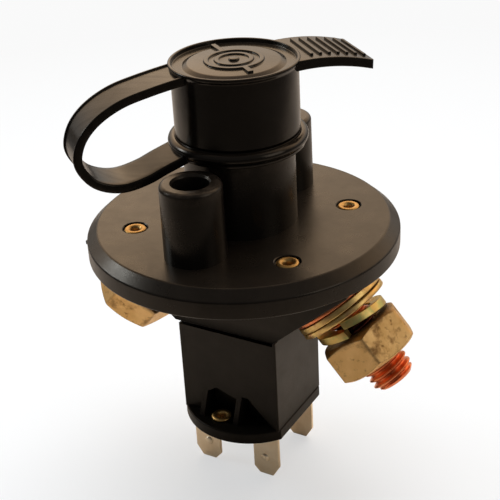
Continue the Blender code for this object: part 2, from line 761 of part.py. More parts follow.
def make_ring(parts, tools):
    z0, z1 = RING_Z
    r = RING_R
    profile = [(RING_BORE_R, z1), (r - 0.6, z1), (r, z1 - 0.7), (r, z0), (RING_BORE_R, z0)]
    ring = turned("tether_ring", profile, parts, "cap_rubber", 44)
    lug = [(12.3, 18.2), (14.15, 17.3), (14.15, 15.85), (12.3, 16.0)]
    join(ring, radial_prism("strap_lug", lug, STRAP_HALF_W, STRAP_AZ, tools))
    return ring


def hang_from_flange():
    """Put the flange's top where it belongs above the base plate's underside."""
    hanger = bpy.data.objects.new("flange_height", None)
    hanger.location = (0.0, 0.0, -CASE_BOTTOM * MM)
    pieces = list(bpy.data.objects)
    bpy.context.scene.collection.objects.link(hanger)
    for piece in pieces:
        if piece is not hanger:
            piece.parent = hanger


def main():
    clear_scene()
    parts = make_collection(PARTS)
    tools = make_collection(CUTTERS)
    make_cover(parts, tools)
    make_body(parts, tools)
    make_casing(parts, tools)
    make_plate(parts, tools)
    make_rivets(parts)
    make_terminals(parts, tools)
    for name, sx, sy in blade_seats():
        make_blade(name, sx, sy, parts, tools)
    make_plunger(parts)
    make_seal(parts)
    make_bridge(parts, tools)
    make_clip(parts)
    make_springs(parts)
    make_auxiliary(parts, tools)
    make_cap(parts, tools)
    make_strap(parts)
    make_ring(parts, tools)
    hang_from_flange()


main()
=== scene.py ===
import math

import bmesh
import bpy
import numpy as np
from mathutils import Matrix, Vector


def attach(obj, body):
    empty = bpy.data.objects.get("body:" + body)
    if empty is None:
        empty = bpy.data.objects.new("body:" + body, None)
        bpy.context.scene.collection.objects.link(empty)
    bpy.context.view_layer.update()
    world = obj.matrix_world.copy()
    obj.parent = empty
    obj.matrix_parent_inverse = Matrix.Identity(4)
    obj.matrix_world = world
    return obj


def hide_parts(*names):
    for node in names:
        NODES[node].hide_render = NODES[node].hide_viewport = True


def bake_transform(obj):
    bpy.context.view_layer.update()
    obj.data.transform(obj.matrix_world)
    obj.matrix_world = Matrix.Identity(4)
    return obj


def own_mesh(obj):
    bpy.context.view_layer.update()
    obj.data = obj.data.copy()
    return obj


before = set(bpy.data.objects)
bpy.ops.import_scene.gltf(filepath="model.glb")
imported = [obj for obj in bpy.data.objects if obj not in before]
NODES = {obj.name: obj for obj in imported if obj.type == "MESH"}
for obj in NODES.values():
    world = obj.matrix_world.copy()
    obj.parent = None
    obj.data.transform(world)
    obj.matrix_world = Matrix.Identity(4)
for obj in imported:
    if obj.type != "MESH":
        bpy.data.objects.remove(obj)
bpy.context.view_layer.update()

# Shapes are built in millimetres with the flange's flat top at height zero, then
# settled into the shared frame, in metres, whose origin is the base plate's underside.
MM = 0.001
FLANGE_TOP = 47.3
PI2 = 2 * math.pi

# Flange, neck and pillars
FLANGE_R, FLANGE_FLAT_R, FLANGE_CHAMFER, FLANGE_H = 32.5, 30.3, 1.95, 5.65
NECK_R, NECK_TOP = 11.36, 31.0
PILLAR_Y, PILLAR_R, PILLAR_TOP, PILLAR_BORE_R = 18.6, 6.13, 15.55, 3.6
RIVET_X, RIVET_Y, RIVET_SINK, RIVET_SINK_R = 17.7, 13.7, 0.75, 2.6
RIVET_HOLE_R, GUIDE_HOLE_R = 1.75, 3.1

# Studs and what is threaded on them
APEX_Z = 9.35
STUD_TILT = math.radians(48.94)
SEAT_S, STUD_R, THREAD_PITCH, THREAD_DEPTH = 31.5, 4.75, 1.5, 0.92
STUD_END = {"right": 52.9, "left": 50.9}
NUT_AF, NUT_CHAMFER_R, NUT_BORE_R = 17.0, 8.15, 4.9
WASHERS = dict(copper=(31.65, 32.35), inner=(32.5, 33.85), outer=(34.0, 35.15))
WASHER_R, SPRING_R, SPRING_T = 9.8, 7.9, 1.8
STACK = {
    "right": dict(split=250.0, start=35.45, lean=(-0.88, 0.45), rise=2.0,
                  nut=(39.3, 47.35), hex_turn=56.5, tilt=(0.35, 0.3)),
    "left": dict(split=106.0, start=35.3, lean=(0.0, 0.0), rise=1.1,
                 nut=(38.35, 46.4), hex_turn=40.2, tilt=(-0.3, 0.2)),
}

# Casing, base plate and blades
BODY_Y, CASE_X, CASE_Y, CASE_TOP = 10.9, 11.8, 9.9, -22.45
LIP_TOP, CASE_BOTTOM, LIP_R, LIP_X, GROOVE_LOW = -44.6, -47.3, 15.1, 12.0, -23.5
PLATE_TOP, PLATE_R, PLATE_X = -45.6, 13.95, 11.0
RIB_X = (-6.1, 2.3)
BASE_RIVET = (-1.9, -10.6)
BLADE_X, BLADE_Y, BLADE_W, BLADE_T, BLADE_TIP = 7.5, 8.0, 6.3, 0.8, -58.7

# Cap, strap and tether ring
CAP_R, CAP_RIM_R, CAP_BORE_R, CAP_BOTTOM, CAP_TOP = 12.62, 12.97, 11.68, 19.7, 34.26
STRAP_AZ = math.radians(-130.7)
TAB_AZ = STRAP_AZ + math.pi
TAB_PEAK_S, TAB_PEAK_Z, TAB_DROOP = 13.0, 34.1, 0.0124

# Camera: degrees round and above the object and about its own line of sight
SHOT_AZ, SHOT_EL, SHOT_ROLL = -59.1005, 27.7343, -3.1725
SHOT_AIM, SHOT_DISTANCE = Vector((0.000923, 0.000553, 0.039257)), 0.247893


# ------------------------------------------------------------ shape helpers

def rounded(points, radii, seg=4, closed=True):
    """Polyline with its corners turned into arcs, one radius each or one for all."""
    pts = [np.array(p, float) for p in points]
    n = len(pts)
    radii = [radii] * n if isinstance(radii, (int, float)) else list(radii)
    out = []
    for i, (p, radius) in enumerate(zip(pts, radii)):
        if radius <= 0 or (not closed and i in (0, n - 1)):
            out.append(tuple(p))
            continue
        a, b = pts[i - 1] - p, pts[(i + 1) % n] - p
        la, lb = np.linalg.norm(a), np.linalg.norm(b)
        a, b = a / la, b / lb
        half = math.acos(max(-1.0, min(1.0, float(a @ b)))) / 2
        if half > math.pi / 2 - 0.02:
            out.append(tuple(p))
            continue
        reach = min(radius / math.tan(half), 0.45 * la, 0.45 * lb)
        r = reach * math.tan(half)
        mid = (a + b) / np.linalg.norm(a + b)
        centre = p + mid * (r / math.sin(half))
        v0, v1 = p + a * reach - centre, p + b * reach - centre
        sweep = math.pi - 2 * half
        for k in range(seg + 1):
            t = k / seg
            v = (math.sin((1 - t) * sweep) * v0 + math.sin(t * sweep) * v1) / math.sin(sweep)
            out.append(tuple(centre + v))
    return out


def spline_through(points, per=10):
    """Catmull-Rom curve through a few design points."""
    pts = [np.array(p, float) for p in points]
    pts = [2 * pts[0] - pts[1]] + pts + [2 * pts[-1] - pts[-2]]
    out = []
    for i in range(1, len(pts) - 2):
        p0, p1, p2, p3 = pts[i - 1:i + 3]
        for k in range(per):
            t = k / per
            out.append(0.5 * (2 * p1 + (p2 - p0) * t + (2 * p0 - 5 * p1 + 4 * p2 - p3) * t ** 2
                              + (3 * p1 - p0 - 3 * p2 + p3) * t ** 3))
    out.append(pts[-2])
    return out


def shape(verts, faces, place=None):
    """Object from points and faces, doubles welded and normals pointing out."""
    mesh = bpy.data.meshes.new("shape")
    mesh.from_pydata([tuple(v) for v in verts], [], faces)
    bm = bmesh.new()
    bm.from_mesh(mesh)
    bmesh.ops.remove_doubles(bm, verts=bm.verts, dist=1e-5)
    bmesh.ops.recalc_face_normals(bm, faces=bm.faces)
    bm.to_mesh(mesh)
    bm.free()
    if place is not None:
        mesh.transform(place)
    obj = bpy.data.objects.new("shape", mesh)
    bpy.context.scene.collection.objects.link(obj)
    return obj


def loft(rows, place=None):
    """Skin over closed cross-sections of equal length, capped at both ends."""
    m, n = len(rows), len(rows[0])
    verts = [v for row in rows for v in row]
    faces = []
    for i in range(m - 1):
        for j in range(n):
            k = (j + 1) % n
            faces.append((i * n + j, i * n + k, (i + 1) * n + k, (i + 1) * n + j))
    faces.append(tuple(range(n)))
    faces.append(tuple(range((m - 1) * n, m * n)))
    return shape(verts, faces, place)


def turned(profile, steps=96, place=None):
    """Solid of revolution from (r, z) points, or from a function of the angle giving them."""
    at = profile if callable(profile) else (lambda _: profile)
    verts, rows, poles = [], [], {}
    for i in range(steps):
        t = PI2 * i / steps
        row = []
        for j, (r, z) in enumerate(at(t)):
            if r < 1e-9:
                if j not in poles:
                    poles[j] = len(verts)
                    verts.append((0.0, 0.0, z))
                row.append(poles[j])
            else:
                row.append(len(verts))
                verts.append((r * math.cos(t), r * math.sin(t), z))
        rows.append(row)
    n = len(rows[0])
    faces = []
    for i in range(steps):
        one, two = rows[i], rows[(i + 1) % steps]
        for j in range(n if not poles else n - 1):
            k = (j + 1) % n
            face = []
            for v in (one[j], one[k], two[k], two[j]):
                if v not in face:
                    face.append(v)
            if len(face) > 2:
                faces.append(tuple(face))
    return shape(verts, faces, place)


def bevelled(obj, width, seg=3, pick=None):
    """Round the edges that pick accepts, or all that aren't nearly flat."""
    bm = bmesh.new()
    bm.from_mesh(obj.data)
    edges = []
    for e in bm.edges:
        if len(e.link_faces) != 2 or e.calc_face_angle(0.0) < math.radians(25):
            continue
        if pick is None or pick(e):
            edges.append(e)
    bmesh.ops.bevel(bm, geom=edges, offset=width, segments=seg, profile=0.5,
                    affect="EDGES", clamp_overlap=True)
    bm.to_mesh(obj.data)
    bm.free()
    return obj


def plate(outline, depth, edge=0.0, seg=3, place=None):
    """Flat outline in XY, extruded along Z over depth, its rims rounded by edge."""
    z0, z1 = depth
    n = len(outline)
    verts = [(x, y, z0) for x, y in outline] + [(x, y, z1) for x, y in outline]
    faces = [tuple(range(n)), tuple(range(n, 2 * n))]
    faces += [(i, (i + 1) % n, n + (i + 1) % n, n + i) for i in range(n)]
    obj = shape(verts, faces)
    if edge > 0:
        def rim(e):
            a, b = e.verts
            return abs(a.co.z - b.co.z) < 1e-6
        bevelled(obj, edge, seg, rim)
    if place is not None:
        obj.data.transform(place)
    return obj


def block(xs, ys, zs, edge=0.0, seg=3, place=None):
    """Box between two corners, all its edges rounded by edge."""
    outline = [(xs[0], ys[0]), (xs[1], ys[0]), (xs[1], ys[1]), (xs[0], ys[1])]
    obj = plate(outline, zs)
    if edge > 0:
        bevelled(obj, edge, seg)
    if place is not None:
        obj.data.transform(place)
    return obj


SIDE = Matrix.Rotation(math.pi / 2, 4, "X")  # outline (x, z), extruded along -Y
FRONT = Matrix(((0, 0, 1, 0), (1, 0, 0, 0), (0, 1, 0, 0), (0, 0, 0, 1)))  # outline (y, z)
HALF_TURN = Matrix.Rotation(math.pi, 4, "Z")


def side_plate(outline, ys, edge=0.0, seg=3):
    """Outline in (x, z), extruded over a range of y."""
    return plate(outline, (-ys[1], -ys[0]), edge, seg, SIDE)


def radial(azimuth):
    """Outline given as (distance from the axis, height), extruded across."""
    return Matrix.Rotation(azimuth, 4, "Z") @ SIDE


def rod(radius, zs, at=(0.0, 0.0), steps=48, place=None):
    """Upright cylinder over a range of heights."""
    z0, z1 = zs
    obj = turned([(0, z1), (radius, z1), (radius, z0), (0, z0)], steps)
    obj.data.transform(Matrix.Translation((at[0], at[1], 0)))
    if place is not None:
        obj.data.transform(place)
    return obj


def merged(objs):
    """Several shapes in one mesh, without joining their surfaces."""
    bm = bmesh.new()
    for o in objs:
        bm.from_mesh(o.data)
    mesh = bpy.data.meshes.new("shape")
    bm.to_mesh(mesh)
    bm.free()
    for o in objs:
        bpy.data.objects.remove(o, do_unlink=True)
    obj = bpy.data.objects.new("shape", mesh)
    bpy.context.scene.collection.objects.link(obj)
    return obj


def carve(base, *steps):
    """Join (+), cut (-) or intersect (&) shapes in turn; those of one step must not touch."""
    operations = {"+": "UNION", "-": "DIFFERENCE", "&": "INTERSECT"}
    for sign, tools in steps:
        tool = merged(tools) if len(tools) > 1 else tools[0]
        mod = base.modifiers.new("carve", "BOOLEAN")
        mod.operation = operations[sign]
        mod.solver = "EXACT"
        mod.object = tool
        bpy.context.view_layer.update()
        graph = bpy.context.evaluated_depsgraph_get()
        mesh = bpy.data.meshes.new_from_object(base.evaluated_get(graph))
        base.modifiers.clear()
        base.data = mesh
        bpy.data.objects.remove(tool, do_unlink=True)
    return base


def settle(obj, name, body, look, replaces=(), angle=32, weighted=True):
    """Move a finished shape into the shared frame and hang it on its body."""
    mesh = obj.data
    mesh.transform(Matrix.Translation((0, 0, FLANGE_TOP * MM)) @ Matrix.Scale(MM, 4))
    obj.name = name
    mesh.name = name
    mesh.materials.clear()
    mesh.materials.append(look)
    mesh.shade_smooth()
    mesh.set_sharp_from_angle(angle=math.radians(angle))
    if weighted:
        mod = obj.modifiers.new("even_normals", "WEIGHTED_NORMAL")
        mod.keep_sharp = True
        mod.weight = 80
    if body:
        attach(obj, body)
    if replaces:
        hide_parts(*replaces)
    return obj


def stud_frame(side, s=0.0):
    """Local +Z along the stud, its origin s millimetres from the apex."""
    sign = 1.0 if side == "right" else -1.0
    turn = Matrix.Rotation(sign * (math.pi / 2 + STUD_TILT), 4, "Y")
    way = turn.to_3x3() @ Vector((0, 0, 1))
    return Matrix.Translation(Vector((0, 0, APEX_Z)) + s * way) @ turn


def slope_point(s, x):
    """Height at x of the plane square to the right stud at distance s."""
    c, d = math.cos(STUD_TILT), math.sin(STUD_TILT)
    return APEX_Z - s * d + (x - s * c) * c / d


def mirrored(half):
    """Outline completed by its mirror image across x = 0."""
    return half + [(-x, z) for x, z in reversed(half)]


def clipped_disc(radius, half_x, count=32):
    """Circle cut off straight at both sides."""
    a = math.acos(half_x / radius)
    arc = [a + (math.pi - 2 * a) * i / count for i in range(count + 1)]
    top = [(radius * math.cos(t), radius * math.sin(t)) for t in arc]
    return top + [(-x, -y) for x, y in top]


# ---------------------------------------------------------------- materials

class Nodes:
    """A shader node tree with a short way of adding and joining nodes."""

    def __init__(self, tree, coords="Object"):
        self.tree = tree
        self.coords = tree.nodes.new("ShaderNodeTexCoord").outputs[coords]

    def node(self, kind, inputs=None, **props):
        n = self.tree.nodes.new("ShaderNode" + kind)
        for key, value in props.items():
            setattr(n, key, value)
        for key, value in (inputs or {}).items():
            self.feed(n.inputs[key], value)
        return n

    def feed(self, socket, value):
        if isinstance(value, bpy.types.NodeSocket):
            self.tree.links.new(value, socket)
        elif isinstance(value, (tuple, list)) and len(value) == 3 and socket.type == "RGBA":
            socket.default_value = (*value, 1.0)
        else:
            socket.default_value = value

    def split(self, vector, axis):
        return self.node("SeparateXYZ", {"Vector": vector}).outputs[axis]

    def scaled(self, scale):
        return self.node("Mapping", {"Vector": self.coords, "Scale": scale}).outputs["Vector"]

    def noise(self, scale, detail=3.0, rough=0.5, vector=None, distortion=0.0):
        n = self.node("TexNoise", {"Vector": vector or self.coords, "Scale": scale,
                                   "Detail": detail, "Roughness": rough,
                                   "Distortion": distortion})
        return n.outputs["Fac"]

    def ramp(self, fac, stops, mode="LINEAR"):
        n = self.node("ValToRGB", {"Fac": fac})
        n.color_ramp.interpolation = mode
        elements = n.color_ramp.elements
        while len(elements) < len(stops):
            elements.new(0.5)
        for e, (pos, value) in zip(elements, stops):
            e.position = pos
            e.color = (*value, 1.0) if isinstance(value, tuple) else (value, value, value, 1.0)
        return n.outputs["Color"]

    def mix(self, fac, a, b, blend="MIX"):
        n = self.node("Mix", data_type="RGBA", blend_type=blend)
        self.feed(n.inputs[0], fac)
        self.feed(n.inputs[6], a)
        self.feed(n.inputs[7], b)
        return n.outputs[2]

    def math(self, op, a, b=0.0):
        n = self.node("Math", operation=op)
        self.feed(n.inputs[0], a)
        self.feed(n.inputs[1], b)
        return n.outputs[0]

    def bump(self, height, strength, distance, normal=None):
        n = self.node("Bump", {"Height": height, "Strength": strength, "Distance": distance})
        if normal is not None:
            self.feed(n.inputs["Normal"], normal)
        return n.outputs["Normal"]


class Look(Nodes):
    """A material and its node tree."""

    def __init__(self, name):
        self.mat = bpy.data.materials.new(name)
        self.mat.use_nodes = True
        super().__init__(self.mat.node_tree)
        self.bsdf = self.tree.nodes["Principled BSDF"]

    def set(self, **inputs):
        for key, value in inputs.items():
            self.feed(self.bsdf.inputs[key.replace("_", " ")], value)

    def along_stud(self):
        """Distance from the apex along either stud, a hundred millimetres counting as one."""
        x = self.math("ABSOLUTE", self.split(self.coords, "X"))
        fall = self.math("SUBTRACT", (APEX_Z + FLANGE_TOP) * MM, self.split(self.coords, "Z"))
        total = self.math("ADD", self.math("MULTIPLY", x, math.cos(STUD_TILT)),
                          self.math("MULTIPLY", fall, math.sin(STUD_TILT)))
        return self.math("MULTIPLY", total, 10.0)


def plastic(name, colour, top_dust_and_reflection, rough, grain=0.35, tint=(1.0, 0.875, 0.735), level=0.37,
            specks=0.0, scuff_z=None, painted_shade_by_height=None, streaks=None):
    """Moulded black plastic or rubber: fine grain, faint blotches, upward faces lighter, part
    dust and part painted reflection.

    The height ramp lists (height, share) pairs: painted shade, the share of colour and reflection
    that is left at that height.
    """
    k = Look(name)
    broad = k.noise(95.0, 4.0, 0.6)
    fine = k.noise(2600.0, 3.0, 0.6)
    body = k.mix(k.ramp(broad, [(0.35, 0.0), (0.7, 1.0)]), colour,
                 tuple(c * 1.5 for c in colour))
    # Upward faces lean to a lighter colour: part dust, part painted reflection of light from
    # above.
    up = k.split(k.node("NewGeometry").outputs["Normal"], "Z")
    dust_and_reflection_mask = k.math("MULTIPLY", k.ramp(up, [(0.35, 0.0), (0.95, 1.0)]),
                   k.ramp(k.noise(240.0, 5.0, 0.65), [(0.3, 0.35), (0.75, 1.0)]))
    body = k.mix(dust_and_reflection_mask, body, top_dust_and_reflection)
    if scuff_z:
        band = k.node("MapRange", {"Value": k.split(k.coords, "Z"), "From Min": scuff_z[0],
                                   "From Max": scuff_z[1]})
        worn = k.math("MULTIPLY", band.outputs[0],
                      k.ramp(k.noise(420.0, 6.0, 0.7), [(0.42, 0.0), (0.62, 1.0)]))
        body = k.mix(k.math("MULTIPLY", worn, 0.5), body, (0.06, 0.045, 0.034))
    if specks > 0:
        cells = k.node("TexVoronoi", {"Vector": k.coords, "Scale": 230.0, "Randomness": 1.0})
        dot = k.ramp(cells.outputs["Distance"], [(0.0, 1.0), (specks, 0.0)])
        some = k.ramp(k.node("SeparateColor", {"Color": cells.outputs["Color"]}).outputs[0],
                      [(0.93, 0.0), (0.94, 1.0)], "CONSTANT")
        body = k.mix(k.math("MULTIPLY", dot, some), body, (0.09, 0.08, 0.07))
    patchy = k.ramp(k.noise(75.0, 8.0, 0.72), [(0.34, 0.80), (0.66, 1.12)])
    level = k.math("MULTIPLY", patchy, level)
    # Painted shade by height: colour and reflection both darkened low down.
    if painted_shade_by_height:
        foot, span = painted_shade_by_height[0][0], painted_shade_by_height[-1][0] - painted_shade_by_height[0][0]
        height = k.node("MapRange", {"Value": k.split(k.coords, "Z"),
                                     "From Min": (foot + FLANGE_TOP) * MM,
                                     "From Max": (foot + span + FLANGE_TOP) * MM}).outputs[0]
        painted_shade_share = k.ramp(height, [((z - foot) / span, share) for z, share in painted_shade_by_height])
        body = k.mix(1.0, body, painted_shade_share, "MULTIPLY")
        level = k.math("MULTIPLY", painted_shade_share, level)
    if streaks is not None:
        grain_way = k.node("Mapping", {"Vector": k.coords, "Rotation": (0, 0, -streaks),
                                       "Scale": (0.04, 1.0, 0.04)}).outputs["Vector"]
        streak = k.ramp(k.noise(900.0, 5.0, 0.7, grain_way), [(0.3, 0.62), (0.7, 1.15)])
        level = k.math("MULTIPLY", streak, level)
    k.set(Base_Color=body, Specular_IOR_Level=level, Specular_Tint=(*tint, 1.0))
    uneven = k.ramp(k.noise(180.0, 5.0, 0.7), [(0.3, 0.0), (0.75, 1.0)])
    k.set(Roughness=k.math("ADD", rough - 0.05, k.math("MULTIPLY", uneven, 0.10)))
    waves = k.bump(k.noise(160.0, 2.0, 0.5), 0.25, 0.00012)
    k.set(Normal=k.bump(fine, grain, 0.00002, waves))
    return k.mat


def metal(name, colour, second, rough, spots=None, spot_colour=(0.05, 0.03, 0.02),
          brushed=(1.0, 1.0, 1.0), bump=0.3, spread=0.18, hue=60.0, third=None, rough_scale=900.0,
          dirt_and_shade_band=None, edges=0.0):
    """Metal with two-tone patches, fine tool marks and optional dark pits, stains, or a darker
    band along the stud that is part dirt, part painted shade.

    The stud band is ((distance along the stud, strength) pairs, colour).
    """
    k = Look(name)
    patches = k.ramp(k.noise(hue, 4.0, 0.6, distortion=0.4), [(0.36, 0.0), (0.66, 1.0)])
    tone = k.mix(patches, colour, second)
    if third:
        other = k.ramp(k.noise(hue * 2.3, 3.0, 0.5), [(0.5, 0.0), (0.68, 1.0)])
        tone = k.mix(k.math("MULTIPLY", other, 0.7), tone, third)
    marks = k.noise(rough_scale, 4.0, 0.65, k.scaled(brushed))
    dark = None
    if spots:
        scale, low, high = spots
        dark = k.ramp(k.noise(scale, 6.0, 0.62), [(low, 0.0), (high, 1.0)])
        fleck = k.ramp(k.noise(scale * 4.1, 3.0, 0.5), [(0.60, 0.0), (0.76, 1.0)])
        dark = k.math("MAXIMUM", dark, k.math("MULTIPLY", fleck, 0.7))
        tone = k.mix(k.math("MULTIPLY", dark, 0.85), tone, spot_colour)
    # Darker band along the stud near the nut: part dirt, part painted shade where nut and washers
    # close in.
    if dirt_and_shade_band:
        reach, shade = dirt_and_shade_band
        band = k.ramp(k.along_stud(), [(mm * 0.01, v) for mm, v in reach])
        worn = k.ramp(k.noise(420.0, 4.0, 0.6), [(0.3, 0.75), (0.6, 1.0)])
        tone = k.mix(k.math("MULTIPLY", band, worn), tone, shade)
    if edges:
        sharp = k.node("Bevel", {"Radius": 0.0003}, samples=4).outputs["Normal"]
        flat = k.node("NewGeometry").outputs["Normal"]
        turn = k.node("VectorMath", {0: sharp, 1: flat}, operation="DOT_PRODUCT")
        worn = k.ramp(turn.outputs["Value"], [(0.955, edges), (0.995, 0.0)])
        tone = k.mix(worn, tone, spot_colour)
    k.set(Base_Color=tone, Metallic=1.0)
    grit = k.math("MULTIPLY", k.ramp(marks, [(0.3, 0.0), (0.75, 1.0)]), spread)
    surface = k.math("ADD", rough, grit)
    if dark is not None:
        surface = k.math("ADD", surface, k.math("MULTIPLY", dark, 0.3))
    k.set(Roughness=surface)
    normal = k.bump(marks, bump, 0.00002)
    if dark is not None:
        pits = k.math("SUBTRACT", 1.0, dark)
        normal = k.bump(pits, 0.5, 0.00006, normal)
    k.set(Normal=normal)
    return k.mat


LOOKS = {
    "thermoplastic": plastic("thermoplastic_look", (0.0050, 0.0042, 0.0035),
                             (0.012, 0.009, 0.0065), 0.30, 0.5, scuff_z=(0.0600, 0.0632)),
    # Painted shade on casing and wedge: darker towards the casing's foot, and a dark band at the
    # wedge's lower edge standing in for the shadow under its overhang.
    "casing": plastic("casing_look", (0.0065, 0.0056, 0.0048), (0.012, 0.0095, 0.007),
                      0.40, 0.5, level=0.24, painted_shade_by_height=[(-47.3, 0.35), (-40.0, 0.75), (-30.0, 1.0),
                                                    (-23.6, 1.0)]),
    "wedge": plastic("wedge_look", (0.0065, 0.0056, 0.0048), (0.012, 0.0095, 0.007),
                     0.40, 0.5, level=0.30, painted_shade_by_height=[(-22.0, 0.1), (-20.9, 0.55), (-19.0, 1.0)]),
    "rubber": plastic("rubber_look", (0.0050, 0.0043, 0.0036), (0.014, 0.0105, 0.0075), 0.20,
                      0.3, specks=0.12),
    "strap": plastic("strap_look", (0.0050, 0.0043, 0.0036), (0.012, 0.0085, 0.0055), 0.22,
                     0.35, level=0.30, tint=(1.0, 0.87, 0.72), streaks=STRAP_AZ),
    "seal": plastic("seal_look", (0.006, 0.006, 0.006), (0.01, 0.01, 0.01), 0.6, 0.3),
    "acetal": plastic("acetal_look", (0.58, 0.56, 0.50), (0.66, 0.64, 0.58), 0.38, 0.25,
                      tint=(1.0, 1.0, 1.0), level=0.5),
    "rivet": metal("rivet_look", (0.60, 0.39, 0.15), (0.50, 0.30, 0.10), 0.36, hue=300.0),
    # The nut and copper bands along the stud are part dirt, part painted shade between the parts.
    "nut": metal("nut_look", (0.84, 0.56, 0.25), (0.70, 0.44, 0.17), 0.42,
                 spots=(230.0, 0.54, 0.72), spot_colour=(0.26, 0.14, 0.055), hue=160.0,
                 bump=0.5, edges=0.85, dirt_and_shade_band=([(39.3, 0.9), (40.2, 0.0)], (0.16, 0.09, 0.05))),
    "copper": metal("copper_look", (0.93, 0.34, 0.15), (0.74, 0.20, 0.08), 0.24, hue=160.0,
                    dirt_and_shade_band=([(36.6, 0.0), (37.2, 0.95), (41.0, 0.95), (45.0, 0.0)],
                           (0.10, 0.03, 0.035))),
    "yellow_zinc": metal("yellow_zinc_look", (0.86, 0.62, 0.24), (0.66, 0.40, 0.13), 0.27,
                         hue=230.0, third=(0.60, 0.30, 0.16)),
    "green_zinc": metal("green_zinc_look", (0.66, 0.58, 0.22), (0.70, 0.46, 0.15), 0.30,
                        hue=260.0, third=(0.34, 0.44, 0.15)),
    "blade": metal("blade_look", (0.90, 0.78, 0.60), (0.78, 0.64, 0.45), 0.36,
                   brushed=(1.0, 1.0, 0.12), hue=140.0, bump=0.35),
    "steel": metal("steel_look", (0.50, 0.50, 0.50), (0.42, 0.42, 0.43), 0.26, hue=200.0),
}


# ------------------------------------------------------- flange and casing

def rivet_spots():
    """The flange's four rivets: front right, rear right, rear left, front left."""
    return [(sx * RIVET_X, sy * RIVET_Y) for sx, sy in ((1, -1), (1, 1), (-1, 1), (-1, -1))]


def make_cover():
    """Flange and neck turned in one, hollow below, with pillars, rivet sinks and key slot."""
    skirt_r, web, room_r, roof = 29.5, -3.2, 7.5, 27.0
    outside = [(0, NECK_TOP), (NECK_R, NECK_TOP), (NECK_R, 0), (FLANGE_FLAT_R, 0),
               (FLANGE_R, -FLANGE_CHAMFER), (FLANGE_R, -FLANGE_H)]
    inside = [(skirt_r, -FLANGE_H), (skirt_r, web), (room_r, web), (room_r, roof), (0, roof)]
    profile = rounded(outside + inside, [0, 0.6, 0, 0.7, 0.7, 0.4, 0.25, 0.3, 0.3, 0.4, 0], 6,
                      closed=False)
    cover = turned(profile, 192)
    r, bore_r, top, foot = PILLAR_R, PILLAR_BORE_R, PILLAR_TOP, PILLAR_TOP - 13.0
    post = rounded([(0, top), (r, top), (r + 0.12, -1.8), (0, -1.8)],
                   [0, 0.95, 0, 0], 6, closed=False)
    bore = rounded([(0, top + 2), (r, top + 2), (bore_r + 0.5, top + 0.15),
                    (bore_r, top - 0.5), (bore_r - 0.4, foot), (0, foot)],
                   [0, 0, 0, 0.4, 0.6, 0], 4, closed=False)
    posts, bores = [], []
    for sign in (1, -1):
        at = Matrix.Translation((0, sign * PILLAR_Y, 0))
        posts.append(turned(post, 72, at))
        bores.append(turned(bore, 48, at))
    mouth_r = RIVET_SINK_R + 0.16
    sink = rounded([(0, 2.0), (mouth_r, 2.0), (mouth_r, 0.01), (RIVET_SINK_R, -0.14),
                    (RIVET_SINK_R, -RIVET_SINK), (RIVET_HOLE_R, -RIVET_SINK),
                    (RIVET_HOLE_R, -8.0), (0, -8.0)],
                   [0, 0, 0, 0, 0.15, 0, 0, 0], 3, closed=False)
    sinks = [turned(sink, 40, Matrix.Translation((x, y, 0))) for x, y in rivet_spots()]
    roof_cut = (NECK_TOP - 6, NECK_TOP + 1)
    key_wings = [(-6.5, -1.7), (0.0, -0.8), (6.5, -1.7), (6.5, 1.7), (0.0, 0.8), (-6.5, 1.7)]
    carve(cover, ("+", posts), ("-", bores), ("-", sinks), ("-", [rod(3.2, roof_cut)]),
          ("-", [plate(key_wings, roof_cut)]))
    nub_az, nub_r, reach = math.radians(-144.0), 0.42, FLANGE_R - 0.12
    spot = (math.cos(nub_az) * reach, math.sin(nub_az) * reach, -2.6)
    nub = turned(rounded([(0, nub_r), (nub_r, nub_r), (nub_r, -nub_r), (0, -nub_r)],
                         [0, 0.3, 0.3, 0], 4, closed=False), 16, Matrix.Translation(spot))
    carve(cover, ("+", [nub]))
    return settle(cover, "flange_neck_and_pillars", "housing", LOOKS["thermoplastic"],
                  ["cover_moulding"])


def make_body():
    """Disc let into the flange, and the wedge below it whose slopes seat the studs."""
    disc_r, wing = 29.2, 28.6
    disc = turned(rounded([(0, -3.5), (disc_r, -3.5), (disc_r, -FLANGE_H), (0, -FLANGE_H)],
                          [0, 0.2, 0.3, 0], 3, closed=False), 144)
    half = [(26.0, -4.5), (26.0, -6.0), (wing, -6.0), (wing, slope_point(SEAT_S, wing)),
            (CASE_X, slope_point(SEAT_S, CASE_X))]
    outline = rounded(mirrored(half), [0, 0, 0, 0.4, 0.5, 0.5, 0.4, 0, 0, 0], 4)
    wedge = side_plate(outline, (-BODY_Y, BODY_Y), 0.35)
    inner, room_x, well_x = 28.3, 23.0, 9.5
    half = [(room_x, -2.5), (room_x, slope_point(inner, room_x)),
            (well_x, slope_point(inner, well_x)), (well_x, -20.0)]
    room = side_plate(mirrored(half), (-8.7, 8.7))
    holes = [rod(5.1, (20, 40), place=stud_frame(side)) for side in ("right", "left")]
    carve(disc, ("+", [wedge]), ("-", [room]), ("-", holes),
          ("-", [rod(GUIDE_HOLE_R, (-26, -16))]),
          ("-", [rod(RIVET_HOLE_R, (-9, 0), at) for at in rivet_spots()]))
    return settle(disc, "wedge_moulding", "housing", LOOKS["wedge"], ["body_moulding"])


def bays():
    """The three scoops of one long face as (x, z) outlines, and whether the floor is round."""
    low = LIP_TOP - 0.45
    return [
        ([(-10.8, low), (-10.8, -41.2), (-6.75, -39.9), (-6.75, low)], True),
        ([(-5.5, low), (-5.5, -39.2), (-3.3, -37.7), (1.6, -39.4), (1.6, low)], True),
        ([(3.0, LIP_TOP), (3.0, -38.4), (4.6, -38.4), (10.6, LIP_TOP)], False),
    ]


